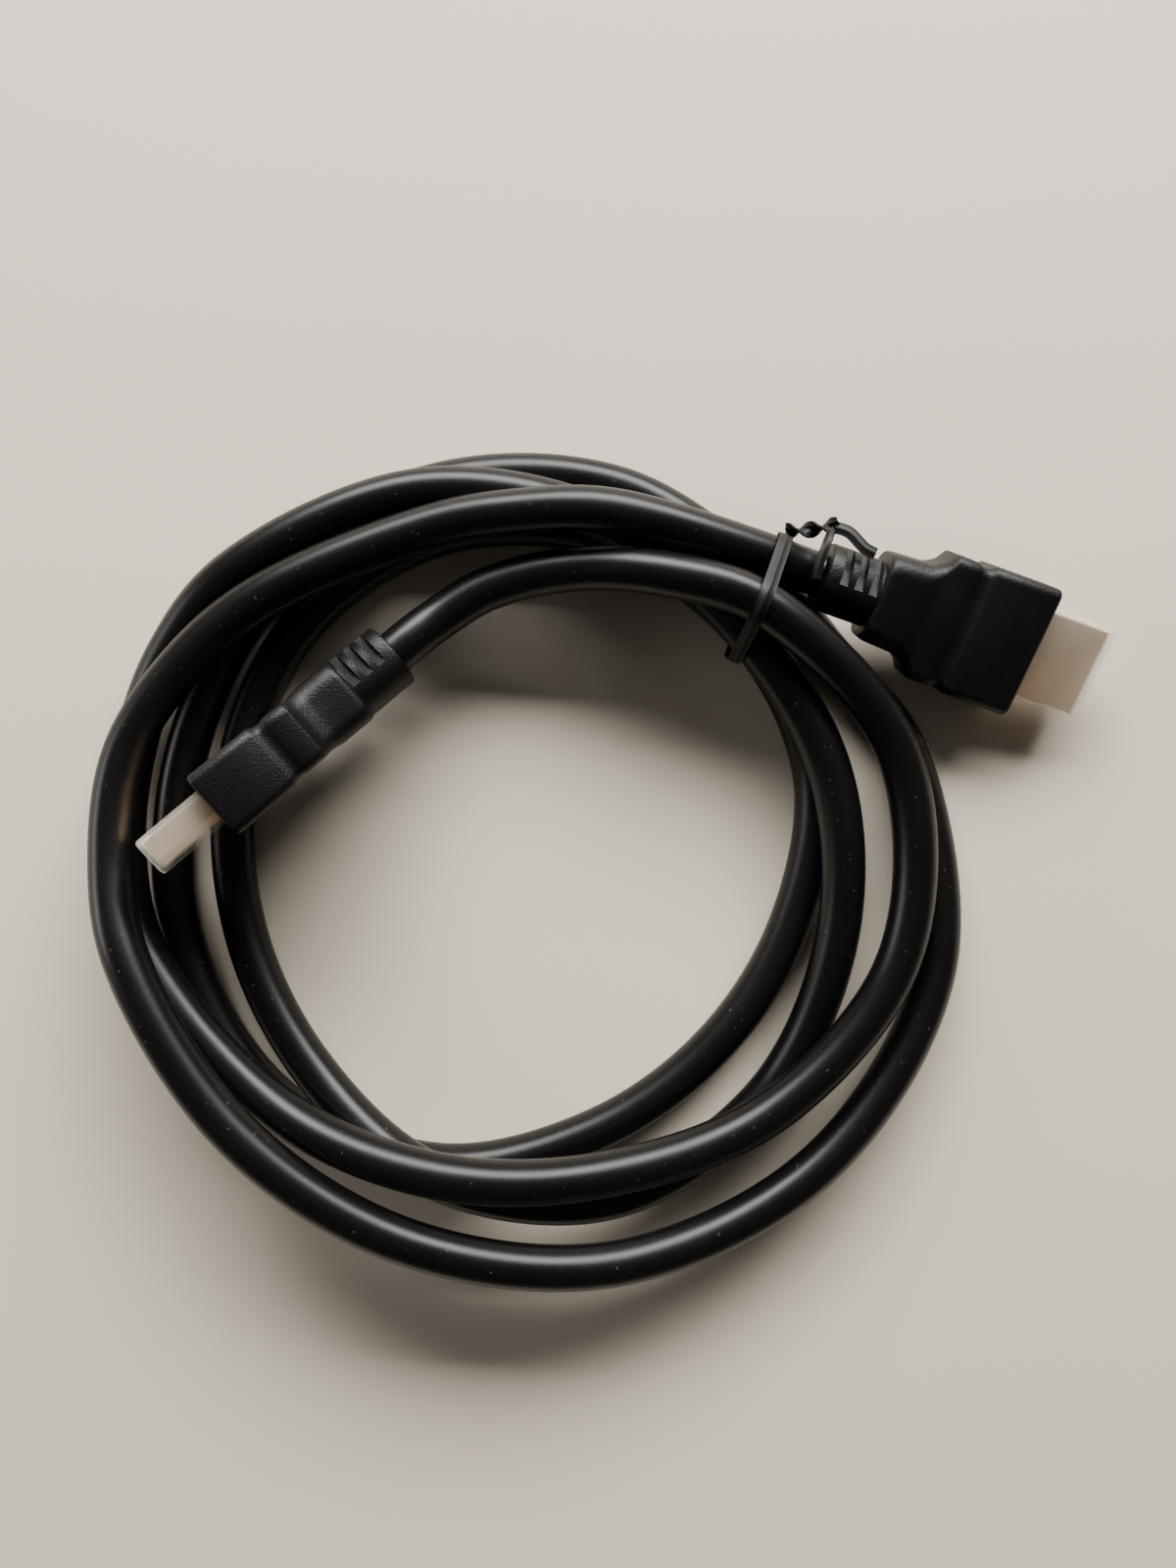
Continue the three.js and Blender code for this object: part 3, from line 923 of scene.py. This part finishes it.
class CABLE_OT_tie(bpy.types.Operator):
    """Make the twist tie round the bundle, with its twisted ends"""

    bl_idname = "cable.tie"
    bl_label = "Twist tie"

    def execute(self, context):
        tie = context.scene.cable_tie
        cord = context.scene.cable_cord
        loop = tie_loop(tie, cord)
        centre = from_coil(TIE_CENTRE)
        across = TIE_ALONG.cross(UPWARDS)
        ring = [centre + TIE_ALONG * u + UPWARDS * z for u, z in evened(loop, LOOP_POINTS)]
        mesh = ribbon(ring, [across] * len(ring), tie, closed=True)
        outermost, level = max(loop)
        start = centre + TIE_ALONG * (outermost + TWIST_START * MM) + UPWARDS * level
        for half, (tail, narrow) in enumerate(TAILS):
            points, sides = tie_end(start, tail, half / 2)
            ribbon(points, sides, tie, into=mesh, narrow=narrow)
        made = new_object("twist_tie_ribbon", mesh, tie_finish(tie.colour), TIE_SHARP)
        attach(made, ROOT)
        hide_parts("twist_tie")
        return {"FINISHED"}


def hull(points):
    """The outermost of flat points, anticlockwise."""
    ordered = sorted(set(points))

    def half(row):
        chain = []
        for p in row:
            while len(chain) > 1:
                (ax, ay), (bx, by) = chain[-2:]
                if (bx - ax) * (p[1] - ay) - (by - ay) * (p[0] - ax) > 0:
                    break
                chain.pop()
            chain.append(p)
        return chain[:-1]

    return half(ordered) + half(ordered[::-1])


def evened(loop, count):
    """Evenly spaced points round a closed flat loop."""
    ring = [Vector(p) for p in loop]
    ring.append(ring[0])
    total = sum((b - a).length for a, b in zip(ring, ring[1:]))
    spaced, walked = [], 0.0
    for a, b in zip(ring, ring[1:]):
        length = (b - a).length
        while len(spaced) < count and walked + length >= total * len(spaced) / count:
            spaced.append(tuple(a.lerp(b, (total * len(spaced) / count - walked)
                                       / max(length, 1e-9))))
        walked += length
    return spaced


def ribbon(points, sides, tie, closed=False, into=None, narrow=1.0):
    """A flat strip with its wire showing as a ridge, along a line, its width along sides."""
    half, edge, wire = tie.width / 2 * narrow, tie.thickness / 2, tie.wire
    rise = wire * WIRE_RISE
    ridge = [(-half, -edge), (-wire, -edge), (0, -rise), (wire, -edge), (half, -edge),
             (half, edge), (wire, edge), (wire / 2, rise), (-wire / 2, rise),
             (-wire, edge), (-half, edge)]
    rings = []
    for (way, _, _), point, side in zip(frames_along(points, closed), points, sides):
        wide = (side - way * side.dot(way)).normalized()
        up = way.cross(wide)
        rings.append([point + wide * x + up * y for x, y in ridge])
    mesh = skin(rings, closed)
    if into is None:
        return mesh
    spare = bpy.data.meshes.new("spare")
    mesh.to_mesh(spare)
    mesh.free()
    into.from_mesh(spare)
    bpy.data.meshes.remove(spare)
    return into


class CABLE_PT_panel(bpy.types.Panel):
    bl_label = "Coiled cable"
    bl_idname = "CABLE_PT_panel"
    bl_space_type = "VIEW_3D"
    bl_region_type = "UI"
    bl_category = "Cable"

    def draw(self, context):
        for operator in OPERATORS:
            self.layout.operator(operator.bl_idname)
        for group in SETTINGS:
            settings = getattr(context.scene, group)
            box = self.layout.box()
            for name in settings.bl_rna.properties.keys():
                if name not in ("rna_type", "name"):
                    box.prop(settings, name)


OPERATORS = (CABLE_OT_stage, CABLE_OT_cord, CABLE_OT_housings, CABLE_OT_shells,
             CABLE_OT_contacts, CABLE_OT_caps, CABLE_OT_tie)
SETTINGS = {"cable_cord": CordSettings, "cable_plugs": PlugSettings,
            "cable_tie": TieSettings, "cable_stage": StageSettings}


def register():
    for kind in (*SETTINGS.values(), *OPERATORS, CABLE_PT_panel):
        bpy.utils.register_class(kind)
    for name, kind in SETTINGS.items():
        setattr(bpy.types.Scene, name, PointerProperty(type=kind))


def unregister():
    for name in SETTINGS:
        delattr(bpy.types.Scene, name)
    for kind in reversed((*SETTINGS.values(), *OPERATORS, CABLE_PT_panel)):
        bpy.utils.unregister_class(kind)


def main():
    register()
    bpy.ops.cable.stage()
    bpy.ops.cable.cord()
    bpy.ops.cable.housings()
    bpy.ops.cable.shells()
    bpy.ops.cable.contacts()
    bpy.ops.cable.caps()
    bpy.ops.cable.tie()
    bpy.context.view_layer.update()


if __name__ == "__main__":
    main()
